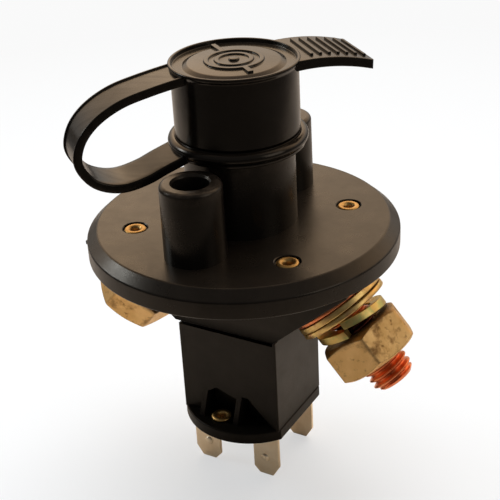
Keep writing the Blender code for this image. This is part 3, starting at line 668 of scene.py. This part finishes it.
def make_casing():
    """Box on a lipped foot; scoops, corner grooves and webs repeat on the far side."""
    case = block((-CASE_X, CASE_X), (-CASE_Y, CASE_Y), (LIP_TOP - 0.5, CASE_TOP), 0.35, 4)
    lip = plate(clipped_disc(LIP_R, LIP_X), (CASE_BOTTOM, LIP_TOP), 0.35)
    carve(case, ("+", [lip]))
    for turn in (Matrix.Identity(4), HALF_TURN):
        for outline, round_floor in bays():
            scoop = side_plate(outline, (-14.0, -7.2))
            if round_floor:
                carve(scoop, ("&", [rod(12.15, (-50, -30), steps=96)]))
            scoop.data.transform(turn)
            carve(case, ("-", [scoop]))
        groove = block((-CASE_X - 1, CASE_X - 0.6), (-CASE_Y - 1, -CASE_Y + 1.3),
                       (GROOVE_LOW, CASE_TOP + 1), place=turn)
        carve(case, ("-", [groove]))
    for turn in (Matrix.Identity(4), HALF_TURN):
        webs = []
        for x in RIB_X:
            web = rounded([(-8.0, -38.4), (-CASE_Y + 0.15, -38.6), (-12.4, LIP_TOP - 0.5),
                           (-8.0, LIP_TOP - 0.5)], [0, 0.5, 0, 0], 3)
            webs.append(plate(web, (x - 0.62, x + 0.62), 0.12, 2, turn @ FRONT))
        carve(case, ("+", webs))
    well_x, ceiling = 9.9, -24.3
    carve(case,
          ("-", [plate(clipped_disc(PLATE_R + 0.25, PLATE_X + 0.25),
                       (CASE_BOTTOM - 1, LIP_TOP - 0.8))]),
          ("-", [block((-well_x, well_x), (-5.3, 5.3), (-46.0, ceiling))]),
          ("-", [block((-well_x, well_x), (-7.0, 7.0), (-36.0, ceiling))]),
          ("-", [rod(GUIDE_HOLE_R, (-26, -20))]),
          ("-", [rod(RIVET_HOLE_R, (-49, -43), at) for at in base_rivet_spots()]))
    return settle(case, "casing_moulding", "housing", LOOKS["casing"], ["lower_casing"])


def base_rivet_spots():
    """The casing's two rivets, front and rear."""
    return [(s * BASE_RIVET[0], s * BASE_RIVET[1]) for s in (1, -1)]


def blade_seats():
    """Name of each blade with the signs of its x and y."""
    return [("front_right", 1, -1), ("front_left", -1, -1),
            ("rear_right", 1, 1), ("rear_left", -1, 1)]


def make_plate():
    """Plate under the casing that the blades stand in."""
    base = plate(clipped_disc(PLATE_R, PLATE_X), (CASE_BOTTOM, PLATE_TOP), 0.3)
    half = BLADE_W / 2 + 0.15
    slots, runs = [], []
    for _, sx, sy in blade_seats():
        xs = (sx * BLADE_X - half, sx * BLADE_X + half)
        slots.append(block(xs, sorted((sy * (BLADE_Y - 0.6), sy * (BLADE_Y + 0.6))), (-49, -44)))
        runs.append(block(xs, sorted((sy * 3.4, sy * BLADE_Y)), (PLATE_TOP - 1.1, -44)))
    carve(base, ("-", slots), ("-", runs),
          ("-", [rod(RIVET_HOLE_R, (-49, -43), at) for at in base_rivet_spots()]))
    return settle(base, "blade_plate", "housing", LOOKS["casing"], ["base_plate"])


# ---------------------------------------------------------------- metalwork

def rivet(name, node, spot, head_top, tail):
    """Tubular rivet with a rolled, slightly flared head and a rolled tail."""
    shank, bore = 1.45, 0.95
    bead = [(1.72 + 0.55 * math.cos(t), head_top - 0.36 + 0.36 * math.sin(t))
            for t in (math.pi * (0.80 - 1.45 * i / 10) for i in range(11))]
    roll = [(2.0 + 0.30 * math.cos(t), tail + 0.28 + 0.28 * math.sin(t))
            for t in (math.pi * (0.5 - i / 6) for i in range(7))]
    profile = [(bore, head_top - 0.75), (1.08, head_top - 0.35)] + bead
    profile += [(shank, head_top - 0.58), (shank, tail + 0.56)] + roll + [(bore, tail)]
    obj = turned(profile, 40, Matrix.Translation((spot[0], spot[1], 0)))
    return settle(obj, name, "housing", LOOKS["rivet"], [node], angle=50,
                  weighted=False)


def make_rivets():
    head = 0.72
    names = ("front_right", "rear_right", "rear_left", "front_left")
    for name, spot in zip(names, rivet_spots()):
        rivet("rolled_flange_rivet_" + name, "flange_rivet_" + name, spot,
              -RIVET_SINK + head, -FLANGE_H - 0.6)
    for name, spot in zip(("front", "rear"), base_rivet_spots()):
        rivet("rolled_base_rivet_" + name, "base_rivet_" + name, spot, LIP_TOP + head,
              CASE_BOTTOM - 0.55)


def thread_radius(s, t):
    """Radius of a metric thread at distance s along it and angle t round it."""
    u = (s / THREAD_PITCH - t / PI2) % 1.0
    rise = 1.0 - abs(2.0 * u - 1.0)
    rise = min(1.0, max(0.0, (rise - 0.12) / 0.72))  # leaves a flat at root and crest
    return STUD_R - THREAD_DEPTH + THREAD_DEPTH * rise


def make_stud(side):
    """Threaded from its neck to a chamfered end, with a square head inside the housing."""
    start, end, neck, neck_r = 28.0, STUD_END[side], 30.6, 4.55
    tip_r, tip_slope = STUD_R - 1.15, 1.05
    length = end - start
    count = int(length / (THREAD_PITCH / 14))
    stations = [start + length * i / count for i in range(count + 1)]

    def profile(t):
        pts = [(0.0, end)]
        for s in reversed(stations):
            r = thread_radius(s, t)
            if s < neck:
                r = neck_r
            pts.append((min(r, tip_r + (end - s) * tip_slope), s))
        pts.append((0.0, start))
        return pts

    stud = turned(profile, 72, stud_frame(side))
    head = block((-6, 6), (-6.5, 6.5), (24.5, 28.4), 0.4, place=stud_frame(side))
    carve(stud, ("+", [head]))
    return settle(stud, "threaded_stud_" + side, "housing", LOOKS["copper"],
                  ["stud_" + side], angle=60, weighted=False)


def washer_shape(side, kind, bore, edge, tilt=(0.0, 0.0)):
    """Flat washer, tilted by a few tenths of a degree where it lies loose."""
    s0, s1 = WASHERS[kind]
    h, r = s1 - s0, WASHER_R
    profile = rounded([(bore, h / 2), (r, h / 2), (r, -h / 2), (bore, -h / 2)], edge, 3)
    tip = (Matrix.Rotation(math.radians(tilt[0]), 4, "X")
           @ Matrix.Rotation(math.radians(tilt[1]), 4, "Y"))
    return turned(profile, 96, stud_frame(side, (s0 + s1) / 2) @ tip)


def spring_washer_shape(side):
    """One open turn of rectangular wire whose ends stand apart."""
    turn = STACK[side]
    split, gap, steps, bore = math.radians(turn["split"]), 0.02, 110, 5.2
    lean_x, lean_y = turn["lean"]
    section = rounded([(bore, SPRING_T), (SPRING_R, SPRING_T), (SPRING_R, 0), (bore, 0)], 0.2, 3)
    rows = []
    for i in range(steps + 1):
        part = i / steps
        t = split - gap - (PI2 - 2 * gap) * part
        lift = (turn["start"] + lean_x * math.cos(t) + lean_y * math.sin(t)
                + turn["rise"] * part)
        rows.append([(r * math.cos(t), r * math.sin(t), z + lift) for r, z in section])
    return loft(rows, stud_frame(side))


def nut_shape(side):
    """Hexagon nut with soft corners, a chamfer both ends and a countersunk bore."""
    s0, s1 = STACK[side]["nut"]
    h = s1 - s0
    half = NUT_AF / 2
    turn = math.radians(STACK[side]["hex_turn"])
    corner = half / math.cos(math.pi / 6)
    soft, edge, step, sink = 0.10, 0.09, 0.05, 0.75
    c, bore = NUT_CHAMFER_R, NUT_BORE_R

    def across(t):
        u = (t - turn) % (math.pi / 3) - math.pi / 6
        flat = half / math.cos(u)
        away = math.pi / 6 - abs(u)
        return min(flat, corner - soft + soft * min(1.0, away / 0.04) ** 2 * 0.4)

    def profile(t):
        r = across(t)
        drop = max(0.0, (r - c) * math.tan(math.radians(30)))
        brow = max(c + 0.01, r - edge * 1.5)
        return [(bore, h - sink), (bore + sink, h), (c - 0.35, h), (c, h - step),
                (brow, h - step - drop + edge * 0.6), (r, h - step - drop - edge),
                (r, step + drop + edge), (brow, step + drop - edge * 0.6), (c, step),
                (c - 0.35, 0.0), (bore + sink, 0.0), (bore, sink)]

    return turned(profile, 216, stud_frame(side, s0))


def make_terminals():
    for side in ("right", "left"):
        make_stud(side)
        settle(washer_shape(side, "copper", 5.2, 0.15), "seat_washer_" + side,
               "housing", LOOKS["copper"], ["copper_washer_" + side])
        settle(washer_shape(side, "inner", 5.3, 0.25), "flat_washer_" + side,
               "housing", LOOKS["yellow_zinc"], ["inner_washer_" + side])
        settle(washer_shape(side, "outer", 5.3, 0.25, STACK[side]["tilt"]),
               "loose_washer_" + side, "washers_" + side, LOOKS["yellow_zinc"],
               ["outer_washer_" + side])
        settle(spring_washer_shape(side), "split_washer_" + side, "washers_" + side,
               LOOKS["green_zinc"], ["spring_washer_" + side])
        settle(nut_shape(side), "hex_nut_" + side, "nut_" + side, LOOKS["nut"],
               ["nut_" + side], angle=25)


def make_blade(name, sx, sy):
    """Push-on blade with a pressed bump, jogged inwards to its contact finger."""
    x, hw, ht, tip = sx * BLADE_X, BLADE_W / 2, BLADE_T / 2, BLADE_TIP
    finger_y = 4.0
    left, right = ((1.4, 1.5), (1.6, 2.7)) if sx > 0 else ((1.6, 2.4), (1.4, 1.6))
    outline = rounded([(x - hw, PLATE_TOP - 0.2), (x - hw, tip + left[1]),
                       (x - hw + left[0], tip), (x + hw - right[0], tip),
                       (x + hw, tip + right[1]), (x + hw, PLATE_TOP - 0.2)],
                      [0, 0.35, 0.35, 0.35, 0.35, 0], 3)
    blade = side_plate(outline, sorted((sy * (BLADE_Y - ht), sy * (BLADE_Y + ht))), 0.13, 2)
    foot = block((x - hw, x + hw), sorted((sy * (finger_y - ht), sy * (BLADE_Y - 0.1))),
                 (PLATE_TOP - 1.0, PLATE_TOP - 0.2))
    top = -41.2 if sy < 0 else -33.0
    xs = (x - 2.1, x + 1.9)
    finger = block(xs, sorted((sy * (finger_y - ht), sy * (finger_y + ht))),
                   (PLATE_TOP - 0.6, top))
    carve(blade, ("+", [foot]), ("+", [finger]))
    if sy > 0:
        carve(blade, ("+", [block(xs, (1.7, 4.2), (top - 0.8, top - 0.02))]))
    spot = Matrix.Translation((x - 0.25 * sx, sy * (BLADE_Y + ht), -54.2))
    ball = [(math.sin(math.pi * i / 16), math.cos(math.pi * i / 16)) for i in range(17)]
    carve(blade, ("+", [turned(ball, 32, spot @ Matrix.Diagonal((1, 0.45, 1, 1)))]))
    return settle(blade, "push_on_blade_" + name, "housing", LOOKS["blade"],
                  ["blade_" + name])


# -------------------------------------------------- cap, strap, tether ring

def radial_bar(azimuth, span, width, heights, edge=0.12):
    """Small straight ridge running outwards."""
    return block(span, (-width / 2, width / 2), heights, edge, 2,
                 Matrix.Rotation(azimuth, 4, "Z"))


def tab_top(s):
    """Height of the pull tab's upper face at distance s from the axis."""
    return TAB_PEAK_Z - TAB_DROOP * (s - TAB_PEAK_S) ** 2


def make_cap():
    """Cap with two raised rings on a low dome inside its rim, and a ribbed pull tab."""
    under = NECK_TOP + 0.35
    floor, dome, ring_top = 33.35, 33.82, 34.2
    profile = [(0, dome + 0.1), (2.9, dome + 0.08), (2.95, ring_top), (3.85, ring_top),
               (3.95, dome + 0.06), (4.95, dome + 0.04), (5.05, ring_top), (5.9, ring_top),
               (6.0, dome + 0.02), (9.2, dome - 0.1), (10.25, floor - 0.15), (12.25, floor),
               (12.35, CAP_TOP), (CAP_RIM_R, CAP_TOP), (CAP_RIM_R, 33.7), (CAP_R, 33.1),
               (CAP_R, CAP_BOTTOM), (CAP_BORE_R, CAP_BOTTOM), (CAP_BORE_R, under), (0, under)]
    radii = [0, 0.1, 0.16, 0.16, 0.12, 0.1, 0.16, 0.16, 0.12, 1.2, 0.5, 0.2, 0.2, 0.3, 0.6,
             0.6, 0.3, 0.3, 0.4, 0]
    cap = turned(rounded(profile, radii, 5, closed=False), 180)
    tip, root, tab_t, half_w = 26.4, 9.6, 1.95, 7.45
    steps = [root + (tip - root) * i / 20 for i in range(21)]
    outline = [(s, tab_top(s)) for s in steps]
    outline += [(s - 0.1, tab_top(s) - tab_t - 0.15 * (tip - s) / tip) for s in reversed(steps)]
    tab = plate(outline, (-half_w, half_w), 0.22, 2, radial(TAB_AZ))
    well = rod(12.3, (30, 40), steps=180)
    carve(tab, ("-", [well]))
    carve(cap, ("+", [tab]))
    ribs = []
    for i in range(7):
        s = 14.15 + 1.85 * i
        slope = math.atan(-2 * TAB_DROOP * (s - TAB_PEAK_S))
        place = (Matrix.Rotation(TAB_AZ, 4, "Z") @ Matrix.Translation((s, 0, tab_top(s)))
                 @ Matrix.Rotation(-slope, 4, "Y"))
        ribs.append(block((-0.32, 0.32), (-5.5, 5.5), (-0.4, 0.45), 0.14, 3, place))
    ridges = [radial_bar(math.radians(-38), (5.5, 8.6), 1.15, (33.2, ring_top)),
              radial_bar(math.radians(144), (5.5, 10.4), 1.05, (33.2, ring_top))]
    pip = turned(rounded([(0, dome + 0.45), (1.1, dome + 0.45), (1.1, 33.2), (0, 33.2)],
                         [0, 0.3, 0, 0], 4, closed=False), 40)
    carve(cap, ("+", ribs), ("+", ridges), ("+", [pip]))
    return settle(cap, "cap_with_pull_tab", "cap", LOOKS["rubber"], ["weather_cap"])


STRAP_LINE = [(11.2, 32.9), (18.1, 31.75), (24.0, 30.35), (28.75, 27.95), (31.9, 24.9),
              (33.4, 21.4), (33.1, 18.6), (31.0, 15.55), (28.0, 13.85), (24.5, 13.3),
              (20.2, 14.1), (16.5, 15.5), (11.6, 17.2)]


def make_strap():
    """Band swept along its loop: flat inside, a raised lip along both edges outside."""
    line = spline_through(STRAP_LINE, 12)
    w, h, lip = 4.77, 0.9, 0.55
    section = [(-w, h), (-w + lip, h), (-w + lip + 0.12, h - 0.32), (w - lip - 0.12, h - 0.32),
               (w - lip, h), (w, h), (w, -h), (-w, -h)]
    section = rounded(section, [0.25, 0.12, 0.1, 0.1, 0.12, 0.25, 0.4, 0.4], 3)
    fine = []
    for a, b in zip(section, section[1:] + section[:1]):
        n = 8 if abs(a[0] - b[0]) > 4 else 1
        fine += [(a[0] + (b[0] - a[0]) * i / n, a[1] + (b[1] - a[1]) * i / n) for i in range(n)]
    rows = []
    for i, p in enumerate(line):
        ahead = line[min(i + 1, len(line) - 1)] - line[max(i - 1, 0)]
        ahead = ahead / np.linalg.norm(ahead)
        out = np.array((-ahead[1], ahead[0]))
        within = CAP_R - 0.3 if i < len(line) / 2 else CAP_R + 0.1
        rows.append([(max(p[0] + out[0] * h, math.sqrt(within ** 2 - w ** 2)),
                      p[1] + out[1] * h, w) for w, h in fine])
    strap = loft(rows, radial(STRAP_AZ))
    settle(strap, "strap_loop", None, LOOKS["strap"], ["strap"])
    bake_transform(strap)
    return strap


def make_ring():
    """Band round the neck with a rounded bead, which the strap grows out of."""
    bead_r, bead_z, bead, band_r, low = 12.98, 18.25, 1.15, 13.5, 16.5
    arc = [(bead_r + bead * math.cos(t), bead_z + bead * math.sin(t))
           for t in (math.pi * (0.60 - 0.98 * i / 16) for i in range(17))]
    profile = [(CAP_BORE_R, 19.35), (12.6, 19.38)] + arc
    profile += rounded([(band_r, 17.1), (band_r, low), (CAP_BORE_R, low)], [0, 0.25, 0], 3,
                       closed=False)
    ring = turned(profile, 144)
    return settle(ring, "tether_band", "tether", LOOKS["rubber"], ["tether_ring"])


def make_coil(name, node, mean, wire, low, high, turns):
    """Round-wire compression spring on the plunger's axis, between two heights."""
    steps, around = int(turns * 36), 12
    section = [(mean + wire / 2 * math.cos(u), wire / 2 * math.sin(u))
               for u in (PI2 * j / around for j in range(around))]
    rows = []
    for i in range(steps + 1):
        part = i / steps
        t = PI2 * turns * part
        z = low + wire / 2 + (high - low - wire) * part
        rows.append([(r * math.cos(t), r * math.sin(t), z + h) for r, h in section])
    coil = loft(rows)
    return settle(coil, name, "plunger_group", LOOKS["steel"], [node])


def make_springs():
    """The overtravel and return coils; the return coil gets a mesh of its own."""
    make_coil("overtravel_coil", "overtravel_spring", 4.7, 0.9, -6.7, 1.7, 4.5)
    low, high, travel = -19.7, -10.95, 5.0
    spring = make_coil("return_coil", "return_spring", 4.4, 0.8, low, high, 4.0)
    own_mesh(spring)


def dress_hidden_parts():
    """CAD parts inside the housing keep their shape and get a finished surface."""
    looks = {"plunger": "acetal", "plunger_seal": "seal", "contact_bridge": "copper",
             "bridge_clip": "steel", "auxiliary_carrier": "acetal", "make_contact_bar": "copper",
             "break_contact_bar": "copper"}
    for name, look in looks.items():
        obj = NODES[name]
        obj.data.materials.clear()
        obj.data.materials.append(LOOKS[look])
        obj.data.shade_smooth()
        obj.data.set_sharp_from_angle(angle=math.radians(35))


# ------------------------------------------------------------------- stage

def shot_turn():
    """The camera's rotation, its columns pointing right, up and back from the object."""
    return (Matrix.Rotation(math.radians(90 + SHOT_AZ), 3, "Z")
            @ Matrix.Rotation(math.radians(90 - SHOT_EL), 3, "X")
            @ Matrix.Rotation(math.radians(SHOT_ROLL), 3, "Z"))


def make_floor():
    """Pale floor: near white for the camera; in reflections and bounce light its colour is
    painted light, a round lit patch behind the object, brighter still near the foot.
    """
    bm = bmesh.new()
    bmesh.ops.create_circle(bm, cap_ends=True, segments=96, radius=3.0)
    mesh = bpy.data.meshes.new("studio_floor")
    bm.to_mesh(mesh)
    bm.free()
    floor = bpy.data.objects.new("studio_floor", mesh)
    floor.location.z = (BLADE_TIP + FLANGE_TOP) * MM - 0.0001
    bpy.context.scene.collection.objects.link(floor)
    k = Look("floor_look")
    # Painted pool of light for non-camera rays: lighter inside a round patch behind the object,
    # dark beyond it, and lighter near the foot.
    azimuth, behind = math.radians(SHOT_AZ), 0.12
    centre = (-behind * math.cos(azimuth), -behind * math.sin(azimuth), 0.0)
    away = k.node("VectorMath", {0: k.coords, 1: centre}, operation="DISTANCE")
    shade = k.ramp(away.outputs["Value"], [(0.225, (0.46, 0.42, 0.38)),
                                           (0.26, (0.10, 0.10, 0.10))])
    from_foot = k.node("VectorMath", {0: k.coords}, operation="LENGTH").outputs["Value"]
    shade = k.mix(k.ramp(from_foot, [(0.035, 0.75), (0.10, 0.0)]), shade, (0.86, 0.82, 0.76))
    grain = k.ramp(k.noise(14.0, 3.0, 0.5), [(0.3, 0.97), (0.7, 1.0)])
    k.set(Base_Color=k.mix(1.0, shade, grain, "MULTIPLY"), Roughness=0.8,
          Specular_IOR_Level=0.1)
    white = k.node("Emission", {"Color": (0.95, 0.95, 0.95), "Strength": 1.0})
    soft = k.node("BsdfDiffuse", {"Color": (0.785, 0.865, 0.955)})
    share = k.ramp(from_foot, [(0.10, 0.42), (0.32, 0.0)])
    shown = k.node("MixShader", {0: share, 1: white.outputs[0], 2: soft.outputs[0]})
    seen = k.node("LightPath").outputs["Is Camera Ray"]
    both = k.node("MixShader", {0: seen, 1: k.bsdf.outputs[0], 2: shown.outputs[0]})
    clear = k.node("BsdfTransparent")
    below = k.node("NewGeometry").outputs["Backfacing"]
    last = k.node("MixShader", {0: below, 1: both.outputs[0], 2: clear.outputs[0]})
    k.feed(k.tree.nodes["Material Output"].inputs["Surface"], last.outputs[0])
    mesh.materials.append(k.mat)


def make_world():
    """Dim room with a bright warm backdrop behind the object; the camera sees plain white."""
    world = bpy.data.worlds.new("studio")
    bpy.context.scene.world = world
    world.use_nodes = True
    k = Nodes(world.node_tree, "Generated")
    behind = k.node("VectorMath", {0: k.coords, 1: (-0.30, 0.93, 0.22)},
                    operation="DOT_PRODUCT").outputs["Value"]
    height = k.split(k.coords, "Z")
    glow = k.ramp(behind, [(0.05, 0.0), (0.60, 1.0)], "EASE")
    warm = k.ramp(height, [(0.0, (0.80, 0.76, 0.70)), (0.18, (0.92, 0.78, 0.64)),
                           (0.45, (1.0, 0.70, 0.42)), (0.75, (0.62, 0.45, 0.29)),
                           (1.0, (0.20, 0.15, 0.11))])
    leftward = k.node("VectorMath", {0: k.coords, 1: (-0.87, -0.49, 0.0)},
                      operation="DOT_PRODUCT").outputs["Value"]
    sides = k.ramp(k.math("ADD", leftward, 0.5),
                   [(0.30, 0.62), (0.50, 0.74), (0.66, 1.0), (0.80, 0.62), (1.0, 0.52)])
    lit = k.mix(1.0, k.mix(1.0, warm, glow, "MULTIPLY"), sides, "MULTIPLY")
    lift = k.node("MapRange", {"Value": height, "From Min": 0.1, "From Max": 0.45,
                               "To Min": 1.0, "To Max": 2.84}).outputs[0]
    room = k.node("Background", {"Color": k.mix(1.0, lit, (0.045, 0.045, 0.046), "ADD"),
                                 "Strength": lift})
    plain = k.node("Background", {"Color": (0.955, 0.955, 0.955)})
    seen = k.node("LightPath").outputs["Is Camera Ray"]
    both = k.node("MixShader", {0: seen, 1: room.outputs[0], 2: plain.outputs[0]})
    k.feed(k.tree.nodes["World Output"].inputs["Surface"], both.outputs[0])


def area_light(name, location, target, size, power, colour=(1, 1, 1), glossy=True):
    """Rectangular lamp aimed at a point; one that isn't glossy stays out of reflections."""
    data = bpy.data.lights.new(name, "AREA")
    data.shape = "RECTANGLE"
    data.size, data.size_y = size
    data.energy = power
    data.color = colour
    light = bpy.data.objects.new(name, data)
    light.location = location
    way = Vector(target) - Vector(location)
    light.rotation_euler = way.to_track_quat("-Z", "Y").to_euler()
    light.visible_glossy = glossy
    bpy.context.scene.collection.objects.link(light)


def make_lights():
    middle = (0, 0, 0.04)
    area_light("top_softbox", (-0.10, 0.28, 0.80), middle, (0.9, 0.7), 7.0, glossy=False)
    area_light("left_panel", (-0.60, -0.13, 0.36), middle, (0.2, 0.2), 1.05, (0.88, 0.96, 1))
    area_light("right_panel", (0.60, 0.00, 0.30), middle, (0.35, 0.4), 0.50, (1, 0.93, 0.84))


def make_camera():
    """Camera at the photograph's viewing angle."""
    data = bpy.data.cameras.new("camera")
    data.sensor_width = 36.0
    data.lens = 84.67
    data.clip_start, data.clip_end = 0.01, 20.0
    camera = bpy.data.objects.new("camera", data)
    turn = shot_turn()
    spot = SHOT_AIM + turn.col[2] * SHOT_DISTANCE
    camera.matrix_world = Matrix.Translation(spot) @ turn.to_4x4()
    bpy.context.scene.collection.objects.link(camera)
    bpy.context.scene.camera = camera


def make_view():
    """Plain colour handling, so that a colour comes out as it is written."""
    settings = bpy.context.scene.view_settings
    settings.view_transform = "Standard"
    settings.look = "None"
    settings.exposure = 0.0


make_cover()
make_body()
make_casing()
make_plate()
make_rivets()
make_terminals()
for seat in blade_seats():
    make_blade(*seat)
make_cap()
make_strap()
make_ring()
make_springs()
dress_hidden_parts()
make_floor()
make_world()
make_lights()
make_camera()
make_view()
